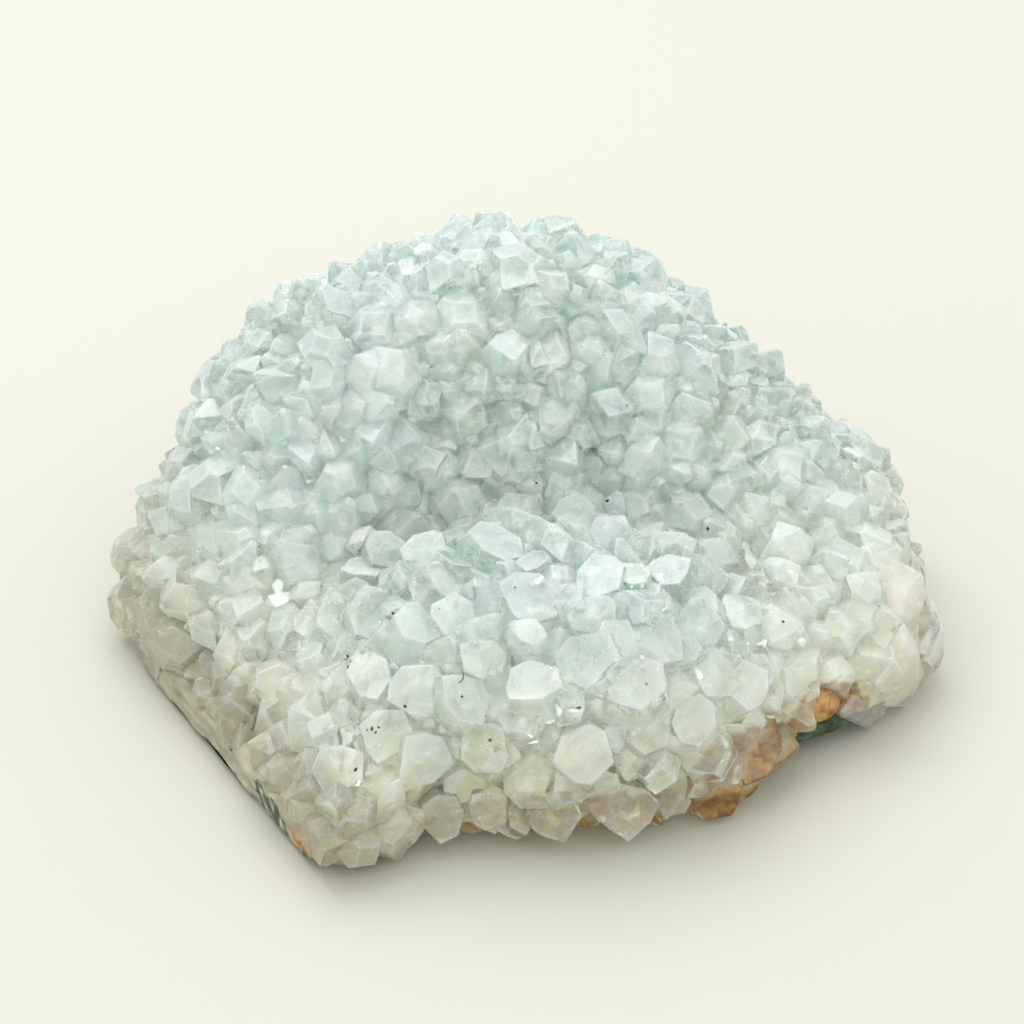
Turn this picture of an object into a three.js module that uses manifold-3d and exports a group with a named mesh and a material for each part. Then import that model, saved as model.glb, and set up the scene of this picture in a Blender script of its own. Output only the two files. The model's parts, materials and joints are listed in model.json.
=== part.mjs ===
// Apophyllite cluster: a hand specimen of pale green apophyllite on a thin plate of rock.
// Two solids: the druse, whose crystals and milky massive root grew together as one piece,
// and the matrix rock underneath, which carries it and lies on the shelf.
// Millimetres, +Z up. The origin is on the rock's flat resting face, under the middle of
// the specimen; +X runs along the longest side and the round front boss is towards -Y.
import * as THREE from 'three';
import { ConvexGeometry } from 'three/addons/geometries/ConvexGeometry.js';
import { ConvexHull } from 'three/addons/math/ConvexHull.js';
import { mergeVertices } from 'three/addons/utils/BufferGeometryUtils.js';
import Module from 'manifold-3d';

const wasm = await Module();
wasm.setup();

// ---- driving dimensions ----------------------------------------------------

// The body under the crystals is a soft union of ellipsoids: centre and half axes.
const bossCentre = [5, -31, 13];
const lobes = [
  { centre: [-1, 35, 21], radii: [51, 36, 50] }, // main mound at the back
  { centre: [-35, 26, 17], radii: [27, 34, 39] }, // left shoulder
  { centre: [35, 24, 11], radii: [38, 32, 32] }, // right shoulder
  { centre: bossCentre, radii: [38, 25, 26] }, // round boss in front
  { centre: [-44, 7, 9], radii: [27, 35, 25] }, // left flank
  { centre: [-28, -41, 7], radii: [16, 25, 16] }, // front left corner
  { centre: [-45, -22, 3], radii: [16, 22, 11] }, // massive ledge along the old break
  { centre: [-21, -13, 10], radii: [18, 18, 16] }, // saddle between flank, corner and boss
  { centre: [3, -6, 15], radii: [28, 20, 19] }, // saddle between boss and mound
  { centre: [55, 0, 10], radii: [22, 27, 17] }, // right end
  { centre: [32, -19, 12], radii: [23, 19, 14] }, // right front flank
];
const bossLobe = 3;
const blendHardness = 7;
const heart = new THREE.Vector3(0, 8, 16); // every ray from here leaves the body once
const farOut = 140;

const valleyDepth = [2.2, 3.8]; // the valleys between crystals lie this far under it
const plainDepth = 1; // and the middle of a plain facet of the massive root this far
const moundSpacing = 5.1; // least distance of neighbouring crystals on the mound
const frontSpacing = 6.4; // and on the low front, from frontFrom to frontTo along Y
const frontFrom = 4;
const frontTo = -26;
const crystalFloor = 7; // crystals are rooted above this height
const bareSpacing = 13; // under that height the massive root has plain wide facets
const lowestEdge = 1.2; // nothing of the druse hangs lower, so only the rock is stood on
const dartCount = 9000; // places tried for a crystal
const axisLean = 0.5; // how far an axis may lean off the surface normal, as a share of it
const headWidth = { most: 0.64, least: 0.2, step: 0.07 }; // half widths, as shares of a cell
const headRise = { least: -0.4, span: 3 }; // how far shoulders stand out of the body surface
const headStep = 0.6; // blunt heads are this much higher than that, pointed ones lower
const headFlatness = [0.7, 1]; // thickness as a share of the width
const headTilt = 0.28; // slope of a blunt end, at most
const leastFacing = 0.06; // cosine between the surface normal and any facet, at least

const petalSpacing = 8.6; // the boss bears larger, flattened crystals this far apart
const petalSides = 6;
const petalRoot = 5; // length under the body surface
const petalStand = [3.6, 7]; // and above it
const petalThickness = [2.4, 4];
const petalFan = 0.7; // how strongly they turn away from the crown of the boss
const petalLean = 0.3; // and each may lean to any side by this much
const petalWidth = [0.42, 0.58]; // half widths, as shares of the spacing
const petalInset = 0.74; // size of the outer broad face, as a share of the inner one
const petalShare = 0.55; // they grow where the boss makes up this share of the body
const creaseLoss = 0.5; // crystals and valleys lose this share in the crease round it

// The right end is massive, without crystals of its own.
const massiveCentre = [70, 0, 6];
const massiveReach = 19;

// The left front side is one old break: all that would stand past this line is gone.
const breakFrom = [-72, 2];
const breakTo = [-33, -65];

// Rock plate: its outline, counterclockwise from above, and its levels. It is hidden under
// the druse but for a corner next to the old break and the rim under the right front flank.
const rockOutline = [
  [-18, -45], [0, -41], [20, -37], [35, -30], [50, -31], [61, -24], [66, -12], [69, 10],
  [65, 31], [50, 49], [26, 62], [-2, 65], [-28, 61], [-49, 50], [-60, 32], [-61, 12],
  [-57, -4], [-49, -19], [-41, -33], [-45, -44.5], [-38.5, -55.5], [-33, -55],
];
const rockTop = 8;
const rockRim = 3.4; // mean height of the broken lower edge
const rockRimSwing = 1.4;
const restShare = 0.66; // the resting face reaches this share of the outline
const joinGap = 0.3;

const crystalColour = '#cfe0d8';
const rockColour = '#5f6f5c';

// ---- helpers ---------------------------------------------------------------

// A repeatable number from 0 to 1 for crystal `index` and purpose `use`.
function chance(index, use) {
  const wave = Math.sin(index * 12.9898 + use * 78.233) * 43758.5453;
  return wave - Math.floor(wave);
}

function between(low, high, share) {
  return low + (high - low) * share;
}

function toSolid(geometry) {
  const bare = geometry.clone();
  bare.deleteAttribute('normal');
  bare.deleteAttribute('uv');
  const merged = mergeVertices(bare, 1e-4);
  return new wasm.Manifold(new wasm.Mesh({
    numProp: 3,
    vertProperties: new Float32Array(merged.attributes.position.array),
    triVerts: new Uint32Array(merged.index.array),
  }));
}

function toGeometry(solid) {
  const { vertProperties, triVerts } = solid.getMesh();
  const geometry = new THREE.BufferGeometry();
  geometry.setAttribute('position', new THREE.BufferAttribute(vertProperties, 3));
  geometry.setIndex(new THREE.BufferAttribute(triVerts, 1));
  geometry.computeVertexNormals();
  return geometry;
}

// ---- body ------------------------------------------------------------------

// How much one lobe adds at a point: 1 on its own surface, falling off outwards.
function lobeShare(lobe, x, y, z) {
  const { centre, radii } = lobe;
  const reach = Math.hypot(
    (x - centre[0]) / radii[0],
    (y - centre[1]) / radii[1],
    (z - centre[2]) / radii[2],
  );
  return Math.exp(-blendHardness * (reach - 1));
}

function bodyField(x, y, z) {
  return lobes.reduce((sum, lobe) => sum + lobeShare(lobe, x, y, z), 0);
}

// The outermost point of the body along a direction from the heart.
function surfacePoint(direction) {
  const inside = (t) => bodyField(
    heart.x + direction.x * t,
    heart.y + direction.y * t,
    heart.z + direction.z * t,
  ) >= 1;
  let low = farOut;
  while (!inside(low)) low -= 2;
  let high = low + 2;
  for (let step = 0; step < 24; step += 1) {
    const middle = (low + high) / 2;
    if (inside(middle)) low = middle;
    else high = middle;
  }
  return heart.clone().addScaledVector(direction, low);
}

// Outward normal: the downhill direction of the field, by central differences.
function surfaceNormal(p) {
  const e = 0.3;
  return new THREE.Vector3(
    bodyField(p.x - e, p.y, p.z) - bodyField(p.x + e, p.y, p.z),
    bodyField(p.x, p.y - e, p.z) - bodyField(p.x, p.y + e, p.z),
    bodyField(p.x, p.y, p.z - e) - bodyField(p.x, p.y, p.z + e),
  ).normalize();
}

// How far a point belongs to the front boss, from 0 to 1.
function bossShare(p) {
  return lobeShare(lobes[bossLobe], p.x, p.y, p.z) / bodyField(p.x, p.y, p.z);
}

// What the crease round the boss leaves of a height or depth: all of it far away.
function creaseRoom(p) {
  const share = bossShare(p);
  return 1 - creaseLoss * 4 * share * (1 - share);
}

// ---- crystals --------------------------------------------------------------

// Directions from the heart whose surface points keep the spacing between them: random
// ones, each kept only if it is far enough from all before it.
function plant(firstIndex, count, spacingAt) {
  const sites = [];
  for (let index = firstIndex; index < firstIndex + count; index += 1) {
    const height = chance(index, 1) * 2 - 1;
    const turn = chance(index, 2) * 2 * Math.PI;
    const level = Math.sqrt(1 - height * height);
    const direction = new THREE.Vector3(level * Math.cos(turn), level * Math.sin(turn), height);
    const point = surfacePoint(direction);
    const spacing = spacingAt(point);
    const free = sites.every((other) => other.point.distanceTo(point) >= spacing);
    if (spacing > 0 && free) sites.push({ index, direction, point });
  }
  return sites;
}

function isMassive(point) {
  return point.distanceTo(new THREE.Vector3(...massiveCentre)) < massiveReach;
}

// The four shoulders of a crystal's head, and its peak if it is pointed, in its own
// frame with the axis along Z and the site at the origin.
// `room` from 0 to 1 is less in a hollow, where tall crystals would meet.
function headCorners(index, halfX, room) {
  const halfY = halfX * between(...headFlatness, chance(index, 7));
  const rise = headRise.least + headRise.span * room * chance(index, 8);
  const pointed = chance(index, 9) < 0.5;
  const tiltX = between(-headTilt, headTilt, chance(index, 10));
  const tiltY = between(-headTilt, headTilt, chance(index, 11));
  const shoulder = pointed ? rise - headStep : rise + headStep;
  const corners = [[1, 1], [-1, 1], [-1, -1], [1, -1]].map(([s, t]) => [
    s * halfX,
    t * halfY,
    shoulder + s * halfX * tiltX + t * halfY * tiltY,
  ]);
  const peak = pointed ? [0, 0, shoulder + halfX * (0.4 + 0.6 * room)] : null;
  return { corners, peak };
}

// Triangles of the strip between an inner and an outer ring of vertex numbers. Both run
// counterclockwise and come with their angles, and the one that lags is moved on.
function stripBetween(inner, innerAngles, outer, outerAngles) {
  const full = 2 * Math.PI;
  const wrap = (angle) => ((angle % full) + full) % full;
  const start = innerAngles[0];
  const innerTurn = innerAngles.map((angle) => wrap(angle - start));
  const first = outerAngles.reduce((best, angle, k) => (
    wrap(angle - start) < wrap(outerAngles[best] - start) ? k : best), 0);
  const outerTurn = outer.map((_, k) => wrap(outerAngles[(first + k) % outer.length] - start));
  const triangles = [];
  let j = 0;
  let k = 0;
  while (j < inner.length || k < outer.length) {
    const innerNext = j < inner.length ? (innerTurn[j + 1] ?? full) : Infinity;
    const outerNext = k < outer.length ? (outerTurn[k + 1] ?? full + outerTurn[0]) : Infinity;
    const innerHere = inner[j % inner.length];
    const outerHere = outer[(first + k) % outer.length];
    if (innerNext < outerNext) {
      j += 1;
      triangles.push([innerHere, outerHere, inner[j % inner.length]]);
    } else {
      k += 1;
      triangles.push([innerHere, outerHere, outer[(first + k) % outer.length]]);
    }
  }
  return triangles;
}

// Angle at `corner` of the triangle that it makes with two other points.
function angleAt(corner, one, other) {
  return one.clone().sub(corner).angleTo(other.clone().sub(corner));
}

// A net of triangles over the sites, kept as edge -> third corner. It starts as the hull
// of the directions, and each edge is flipped while that makes the triangles rounder.
function weaveNet(sites) {
  const count = sites.length;
  const numberOf = new Map(sites.map((site, number) => [site.direction, number]));
  const mostPasses = 30;
  const third = new Map();
  const key = (a, b) => a * count + b;
  const addTriangle = (a, b, c) => {
    third.set(key(a, b), c);
    third.set(key(b, c), a);
    third.set(key(c, a), b);
  };
  for (const { edge } of new ConvexHull().setFromPoints(sites.map((s) => s.direction)).faces) {
    addTriangle(...[edge, edge.next, edge.next.next].map((e) => numberOf.get(e.head().point)));
  }
  const seenFromHeart = (a, b, c) => {
    const [u, v, w] = [a, b, c].map((number) => sites[number].direction);
    return u.dot(v.clone().cross(w)) > 1e-5;
  };
  let flips = 1;
  for (let pass = 0; pass < mostPasses && flips > 0; pass += 1) {
    flips = 0;
    for (const edge of [...third.keys()]) {
      const a = Math.floor(edge / count);
      const b = edge % count;
      const c = third.get(edge);
      const d = third.get(key(b, a));
      if (c === undefined || d === undefined || third.has(key(c, d))) continue;
      const [pa, pb, pc, pd] = [a, b, c, d].map((number) => sites[number].point);
      const flat = angleAt(pc, pa, pb) + angleAt(pd, pa, pb) < Math.PI + 1e-6;
      if (flat || !seenFromHeart(a, d, c) || !seenFromHeart(d, b, c)) continue;
      third.delete(key(a, b));
      third.delete(key(b, a));
      addTriangle(a, d, c);
      addTriangle(d, b, c);
      flips += 1;
    }
  }
  return { third, key };
}

// The druse without its petals, as one surface round the heart. Neighbouring sites share
// valley points; each crystal's four-sided head stands inside the ring of its valleys.
function druseSolid() {
  const headed = plant(1, dartCount, (p) => (p.z < crystalFloor ? 0 : between(
    moundSpacing, frontSpacing, THREE.MathUtils.smoothstep(-p.y, -frontFrom, -frontTo))));
  const bare = plant(dartCount, dartCount / 10, (p) => (p.z < crystalFloor - 3 ? bareSpacing : 0));
  const sites = [...headed, ...bare];
  const { third, key } = weaveNet(sites);

  const vertices = [];
  const valleyOf = new Map();
  for (const [edge, c] of third) {
    const a = Math.floor(edge / sites.length);
    const b = edge % sites.length;
    if (a < b && a < c) {
      const middle = new THREE.Vector3();
      [a, b, c].forEach((number) => middle.add(sites[number].point).sub(heart));
      middle.normalize();
      const depth = between(...valleyDepth, chance(vertices.length + 1, 21));
      [[a, b], [b, c], [c, a]].forEach(([from, to]) => valleyOf.set(key(from, to), vertices.length));
      const top = surfacePoint(middle);
      vertices.push(top.addScaledVector(surfaceNormal(top), -depth * creaseRoom(top)));
    }
  }
  const neighbourOf = new Map();
  for (const edge of third.keys()) neighbourOf.set(Math.floor(edge / sites.length), edge % sites.length);

  const triangles = [];
  sites.forEach((site, number) => {
    const ring = [];
    const start = neighbourOf.get(number);
    let neighbour = start;
    do {
      ring.push(valleyOf.get(key(number, neighbour)));
      neighbour = third.get(key(number, neighbour));
    } while (neighbour !== start);
    const bareSite = number >= headed.length || isMassive(site.point);
    triangles.push(...(bareSite ? plainFacets : headFacets)(site, ring, vertices));
  });

  const geometry = new THREE.BufferGeometry();
  geometry.setAttribute('position', new THREE.Float32BufferAttribute(
    vertices.flatMap((vertex) => vertex.toArray()), 3));
  geometry.setIndex(triangles.flat());
  return toSolid(geometry);
}

// A cell of the massive root: plain facets from the ring of valleys to its middle.
function plainFacets(site, ring, vertices) {
  const middle = vertices.length;
  vertices.push(site.point.clone().addScaledVector(surfaceNormal(site.point), -plainDepth));
  return ring.map((valley, k) => [middle, valley, ring[(k + 1) % ring.length]]);
}

// A cell with a crystal: its head, joined to the ring of valleys by a strip of facets.
// A head too wide for its cell, so that a facet would fold over, is made again smaller.
function headFacets(site, ring, vertices) {
  const normal = surfaceNormal(site.point);
  const axis = normal.clone().addScaledVector(new THREE.Vector3(
    chance(site.index, 3) - 0.5,
    chance(site.index, 4) - 0.5,
    chance(site.index, 5) - 0.5,
  ), axisLean).normalize();
  const spin = new THREE.Vector3(
    chance(site.index, 12) - 0.5,
    chance(site.index, 13) - 0.5,
    chance(site.index, 14) - 0.5,
  );
  const across = spin.cross(axis).normalize();
  const beside = new THREE.Vector3().crossVectors(axis, across);
  const frame = new THREE.Matrix4().makeBasis(across, beside, axis).setPosition(site.point);
  const angleOf = (vertex) => {
    const offset = vertex.clone().sub(site.point);
    return Math.atan2(offset.dot(beside), offset.dot(across));
  };
  const facesOut = ([a, b, c]) => {
    const one = vertices[b].clone().sub(vertices[a]);
    const other = vertices[c].clone().sub(vertices[a]);
    return one.cross(other).normalize().dot(normal) > leastFacing;
  };
  const reaches = ring.map((valley) => vertices[valley].distanceTo(site.point));
  const reach = reaches.reduce((sum, one) => sum + one, 0) / ring.length;
  const sunk = Math.min(...ring.map((v) => site.point.clone().sub(vertices[v]).dot(normal)));
  const room = THREE.MathUtils.clamp(sunk / valleyDepth[0], 0, 1) * creaseRoom(site.point);
  const base = vertices.length;
  for (let share = headWidth.most; share > headWidth.least; share -= headWidth.step) {
    const { corners, peak } = headCorners(site.index, reach * share, room);
    const placed = corners.map((corner) => new THREE.Vector3(...corner).applyMatrix4(frame));
    const inner = placed.map((_, k) => base + k);
    vertices.push(...placed);
    const ringAngles = ring.map((valley) => angleOf(vertices[valley]));
    const facets = stripBetween(inner, placed.map(angleOf), ring, ringAngles);
    if (peak) {
      vertices.push(new THREE.Vector3(...peak).applyMatrix4(frame));
      inner.forEach((corner, k) => facets.push([corner, inner[(k + 1) % 4], base + 4]));
    } else {
      facets.push([base, base + 1, base + 2], [base, base + 2, base + 3]);
    }
    if (facets.every(facesOut)) return facets;
    vertices.length = base;
  }
  return plainFacets(site, ring, vertices);
}

// A petal: a flat plate with a rounded outline, standing on its edge. X runs across it,
// and its outer broad face, on the +Y side, is inset all round.
function petalCorners(halfX, halfY, length) {
  const corners = [];
  for (let side = 0; side < petalSides; side += 1) {
    const turn = ((side + 0.5) / petalSides) * 2 * Math.PI;
    const across = Math.sin(turn) * halfX;
    const along = Math.cos(turn) * length * 0.5;
    corners.push([across, -halfY, length * 0.5 + along]);
    corners.push([across * petalInset, halfY, length * 0.5 + along * petalInset]);
  }
  return corners;
}

// Petals fan out from the crown of the boss like the leaves of an artichoke, hanging a
// little, each with its broad face turned up and out.
function petalSolid({ index, point }) {
  const normal = surfaceNormal(point);
  const away = point.clone().sub(new THREE.Vector3(...bossCentre)).setZ(0).normalize();
  const axis = normal.clone().addScaledVector(away.setZ(-0.35).normalize(), petalFan);
  axis.x += between(-petalLean, petalLean, chance(index, 3));
  axis.y += between(-petalLean, petalLean, chance(index, 4));
  axis.z += between(-petalLean, petalLean, chance(index, 5));
  axis.normalize();
  const halfX = petalSpacing * between(...petalWidth, chance(index, 6));
  const length = petalRoot + between(...petalStand, chance(index, 8));
  const faceOut = normal.clone().addScaledVector(axis, -normal.dot(axis)).normalize();
  const sideways = new THREE.Vector3().crossVectors(faceOut, axis);
  const foot = point.clone().addScaledVector(axis, -petalRoot);
  const placing = new THREE.Matrix4().makeBasis(sideways, faceOut, axis).setPosition(foot);
  const halfY = between(...petalThickness, chance(index, 7)) / 2;
  const corners = petalCorners(halfX, halfY, length);
  const placed = corners.map((corner) => new THREE.Vector3(...corner).applyMatrix4(placing));
  return toSolid(new ConvexGeometry(placed));
}

// ---- matrix rock -----------------------------------------------------------

// A plate built in rings round its middle: flat to rest on, then a rough slope up to
// the broken lower edge, an upright side and a flat top.
function rockSolid() {
  const corners = rockOutline.length;
  const points = [];
  const addRing = (reach, height) => {
    for (let corner = 0; corner < corners; corner += 1) {
      const [x, y] = rockOutline[corner];
      points.push([x * reach(corner), y * reach(corner), height(corner)]);
    }
  };
  const rim = (corner) => rockRim + rockRimSwing * (chance(corner + 1, 41) * 2 - 1);
  addRing((corner) => restShare * between(0.94, 1.06, chance(corner + 1, 42)), () => 0);
  addRing((corner) => between(0.84, 0.9, chance(corner + 1, 43)), (corner) => rim(corner) * 0.5);
  addRing(() => 1, rim);
  addRing(() => 1, () => rockTop);
  const rings = points.length / corners;
  const bottom = points.length;
  points.push([0, 0, 0]);
  const top = points.length;
  points.push([0, 0, rockTop]);

  const faces = [];
  for (let corner = 0; corner < corners; corner += 1) {
    const next = (corner + 1) % corners;
    faces.push(bottom, next, corner);
    faces.push(top, (rings - 1) * corners + corner, (rings - 1) * corners + next);
    for (let ring = 0; ring + 1 < rings; ring += 1) {
      const low = ring * corners;
      const high = low + corners;
      faces.push(low + corner, low + next, high + next);
      faces.push(low + corner, high + next, high + corner);
    }
  }
  const geometry = new THREE.BufferGeometry();
  geometry.setAttribute('position', new THREE.Float32BufferAttribute(points.flat(), 3));
  geometry.setIndex(faces);
  return toSolid(geometry);
}

// ---- assembly --------------------------------------------------------------

// A block that fills the space past the old break.
function breakSolid() {
  const from = new THREE.Vector2(...breakFrom);
  const along = new THREE.Vector2(...breakTo).sub(from);
  const size = 400;
  const block = new THREE.BoxGeometry(size, size, size);
  block.translate(0, -size / 2, 0);
  block.rotateZ(along.angle());
  block.translate(from.x, from.y, 0);
  return toSolid(block);
}

// The space that the shelf and the rock take: all below the lowest edge, and an upright
// prism over the rock's outline.
function seatSolid() {
  const size = 400;
  const block = new THREE.BoxGeometry(size, size, size);
  block.translate(0, 0, lowestEdge - size / 2);
  const outline = rockOutline.map(([x, y]) => {
    const corner = new THREE.Vector2(x, y);
    return corner.setLength(corner.length() + 2 * joinGap);
  });
  const prism = new THREE.ExtrudeGeometry(new THREE.Shape(outline), {
    depth: size + rockTop + joinGap,
    bevelEnabled: false,
  });
  prism.translate(0, 0, -size);
  return toSolid(block).add(toSolid(prism));
}

// Crystals and root joined, then broken off along the break and cut to the rock's seat.
// Only the largest body is kept, so that no chip stays below the seat.
function clusterSolid() {
  const petals = plant(2 * dartCount, dartCount / 3, (p) => (
    p.z > crystalFloor && bossShare(p) > petalShare ? petalSpacing : 0));
  const whole = petals.reduce((solid, site) => solid.add(petalSolid(site)), druseSolid());
  const bodies = whole.subtract(breakSolid()).subtract(seatSolid()).decompose();
  return bodies.sort((a, b) => b.volume() - a.volume())[0];
}

function piece(name, solid, colour, roughness) {
  const material = new THREE.MeshStandardMaterial({ color: colour, roughness, metalness: 0 });
  const mesh = new THREE.Mesh(toGeometry(solid), material);
  mesh.name = name;
  return mesh;
}

const specimen = new THREE.Group();
specimen.add(piece('crystal_cluster', clusterSolid(), crystalColour, 0.2));
specimen.add(piece('matrix_rock', rockSolid(), rockColour, 0.9));

export default specimen;
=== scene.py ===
from functools import partial
import json
import math

import bpy
import numpy as np
from mathutils.bvhtree import BVHTree
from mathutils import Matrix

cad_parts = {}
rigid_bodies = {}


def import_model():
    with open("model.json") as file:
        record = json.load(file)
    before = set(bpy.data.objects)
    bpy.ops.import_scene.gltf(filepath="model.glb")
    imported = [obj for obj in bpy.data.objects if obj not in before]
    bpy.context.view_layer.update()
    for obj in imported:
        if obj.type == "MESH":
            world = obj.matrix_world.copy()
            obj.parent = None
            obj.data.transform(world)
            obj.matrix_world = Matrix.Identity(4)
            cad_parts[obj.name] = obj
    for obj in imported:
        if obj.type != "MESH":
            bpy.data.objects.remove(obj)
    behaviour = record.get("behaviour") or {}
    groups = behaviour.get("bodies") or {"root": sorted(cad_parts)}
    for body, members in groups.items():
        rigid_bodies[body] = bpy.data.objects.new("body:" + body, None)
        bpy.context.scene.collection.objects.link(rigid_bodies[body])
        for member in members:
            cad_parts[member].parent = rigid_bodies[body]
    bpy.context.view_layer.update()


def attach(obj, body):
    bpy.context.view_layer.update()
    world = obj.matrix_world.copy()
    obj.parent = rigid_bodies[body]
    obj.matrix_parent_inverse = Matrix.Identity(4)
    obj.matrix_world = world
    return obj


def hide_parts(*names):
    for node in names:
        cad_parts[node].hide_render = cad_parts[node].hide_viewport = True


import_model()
scene = bpy.context.scene
millimetre = 0.001  # shapes are worked out in millimetres
hashScale = 43758.5453
latticeKey = np.array([127.1, 311.7, 74.7])


def length(vectors):
    return np.linalg.norm(vectors, axis=-1)


def unit(vectors):
    # each vector divided by its length
    return vectors / length(vectors)[..., None]


def mix(low, high, share):
    return low + (high - low) * share


def smooth(low, high, value):
    # 0 below low, 1 above high, 3t^2 - 2t^3 between
    t = np.clip((value - low) / (high - low), 0, 1)
    return t * t * (3 - 2 * t)


def chance(index, use):
    # repeatable 0..1: the fraction of 43758.5453 sin(12.9898 index + 78.233 use)
    wave = np.sin(index * 12.9898 + use * 78.233) * hashScale
    return wave - np.floor(wave)


def chances(index, *uses):
    # several side by side, such as x, y and z
    return np.stack([chance(index, use) for use in uses], -1)


def between(limits, index, use):
    return mix(*limits, chance(index, use))


def grainNoise(points, size):
    # value noise, -1..1: random corner values of a cubic lattice of that size, blended
    # by smoothstep along x, y and z
    spot = points / size
    cell = np.floor(spot)
    t = spot - cell
    t = t * t * (3 - 2 * t)
    total = np.zeros(points.shape[:-1])
    for corner in np.ndindex(2, 2, 2):
        offset = np.array(corner)
        wave = np.sin((cell + offset) @ latticeKey) * hashScale
        share = np.prod(np.where(offset == 1, t, 1 - t), axis=-1)
        total += (wave - np.floor(wave)) * share
    return total * 2 - 1


def crackle(points, size, octaves):
    # noise of several sizes added up, each half as large and half as strong
    return sum(grainNoise(points + 17.3 * k, size / 2 ** k) / 2 ** k for k in range(octaves))


def grainFacets(points, size):
    # a stone broken into flat grains: the nearest of jittered lattice points owns a place,
    # and its random slope g tilts it, (p - owner) . g; with a random tone for each grain
    cell = np.floor(points / size)
    nearest = np.full(len(points), np.inf)
    rise, tone = np.zeros(len(points)), np.zeros(len(points))
    for step in np.ndindex(3, 3, 3):
        corner = cell + np.array(step) - 1
        key = corner @ latticeKey
        away = points - (corner + chances(key, 1, 2, 3)) * size
        distance = length(away)
        closer = distance < nearest
        nearest = np.where(closer, distance, nearest)
        rise = np.where(closer, (away * (chances(key, 4, 5, 6) * 2 - 1)).sum(-1), rise)
        tone = np.where(closer, chance(key, 7), tone)
    return rise, tone


body = {
    "lobes": np.array([  # centre and half axes, millimetres
        [-1, 35, 21, 51, 36, 50], [-35, 26, 17, 27, 34, 39], [35, 24, 11, 38, 32, 32],
        [5, -31, 13, 38, 25, 26], [-44, 7, 9, 27, 35, 25], [-28, -41, 7, 16, 25, 16],
        [-45, -22, 3, 16, 22, 11], [-21, -13, 10, 18, 18, 16], [3, -6, 15, 28, 20, 19],
        [55, 0, 10, 22, 27, 17], [32, -19, 12, 23, 19, 14]], float),
    "bossLobe": 3,
    "hardness": 7,
    "heart": np.array([0.0, 8.0, 16.0]),
    "farOut": 140.0,
    "breakOffset": 61.2,
    "breakSlope": 0.55,  # the crystals lean back above the rim
    "breakRim": 6.5,
    "rimLow": 5.0,  # height of the bare rim at its ends
    "rimMore": 2.0,  # and how much more in the middle
    "rimMargin": np.array([0, 0, 1.0]),  # kept free of crystals above it
    "breakRoughness": 0.4,
    "breakGrain": 9.0,
    "lowest": 1.2,
    "crest": np.array([  # x along the crest, and how much it dips
        [-54, 2.5], [-47, 0.8], [-42, 0], [-36, 3.6], [-20, 4], [-12, 2.2], [-2, 1.6],
        [8, 1.9], [13, 3.2], [22, 3], [28, 2.6], [35, 3.8], [40, 3.2], [45, 1.2],
        [50, 2.6], [58, 3.6], [62, 2.6], [66, 0]]),
    "endMiddle": np.array([72.0, -6.0, 6.0]),
    "endRadius": 19.0,
    "ledge": np.array([[56.5, -28.0, 6.5, 13.0, 1.0]]),  # bare stone: x, y, z, radius, strength
    "hollow": np.array([[38.5, -42.0, 6.0, 13.5, 1.0]]),  # no crystals on it
    "ironAndShadePatches": np.array([
        [38.5, -41.5, 5.5, 13, 1], [49, -33, 5.5, 8, 0.5], [56.5, -28, 5.5, 12, 1],
        # the next four lie low under the overhanging front: stain whose deep brown is partly
        # painted shade
        [-3, -53, 1.5, 8, 0.7], [5, -53, 1.5, 8.5, 1], [14.5, -52, 1.5, 9, 1],
        [22, -48, 1, 8.5, 0.8], [-35.2, -61, 3.5, 5.8, 1], [-26, -60, 2, 6, 0.4]]),
    "celadonitePatches": np.array([
        [-42.7, -48.3, 4, 4.6, 1], [-40.6, -51.9, 3, 4.4, 1], [-38.8, -55, 1.5, 3, 0.8],
        [-34.5, -62, 0.5, 3, 1], [58, -28, 1, 6.5, 1], [62, -22, 1, 6, 1]]),
}


breakNormal = np.array([-0.8643, -0.5030, 0.0])


def lobeShares(points):
    # exp(-hardness (|(p - centre) / half axes| - 1)) for each lobe
    lobes = body["lobes"]
    reach = length((points[..., None, :] - lobes[:, :3]) / lobes[:, 3:])
    return np.exp(-body["hardness"] * (reach - 1))


def bodyField(points):
    return lobeShares(points).sum(-1)


def surfacePoints(directions):
    # along each ray from the heart, the outermost place where the field reaches 1:
    # stepped in from outside by 2 mm, then halved
    low = np.zeros(len(directions))
    for t in np.arange(body["farOut"], 0, -2.0):
        searching = np.flatnonzero(low == 0)
        inside = bodyField(body["heart"] + directions[searching] * t) >= 1
        low[searching[inside]] = t
    high = low + 2
    for _ in range(24):
        middle = (low + high) / 2
        inside = bodyField(body["heart"] + directions * middle[:, None]) >= 1
        low = np.where(inside, middle, low)
        high = np.where(inside, high, middle)
    return body["heart"] + directions * low[:, None]


def surfaceNormals(points):
    # downhill direction of the field, by central differences
    step = 0.3 * np.eye(3)
    slope = [bodyField(points - s) - bodyField(points + s) for s in step]
    return unit(np.stack(slope, -1))


def bossShares(points):
    shares = lobeShares(points)
    return shares[..., body["bossLobe"]] / shares.sum(-1)


def creaseRoom(points):
    # heights and depths are halved in the crease round the boss
    share = bossShares(points)
    return 1 - 2 * share * (1 - share)


def pastBreak(points):
    # distance past the plane of the old break
    return points @ breakNormal - body["breakOffset"]


def leanBack(points, inset):
    # above the rim what would stand past the break is moved back to a plane that leans
    # inwards by breakSlope for each millimetre of height, and by the inset at once
    above = np.maximum(points[..., 2] - body["breakRim"], 0)
    past = pastBreak(points) + body["breakSlope"] * above + inset * smooth(0, 2, above)
    return points - np.maximum(past, 0)[..., None] * breakNormal


def crestDrop(points):
    # how far the surface dips along the crest: by its x, behind and above the boss
    drop = np.interp(points[:, 0], body["crest"][:, 0], body["crest"][:, 1])
    across = smooth(22, 32, points[:, 1]) * smooth(66, 57, points[:, 1])
    return drop * across * smooth(20, 32, points[:, 2])


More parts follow.
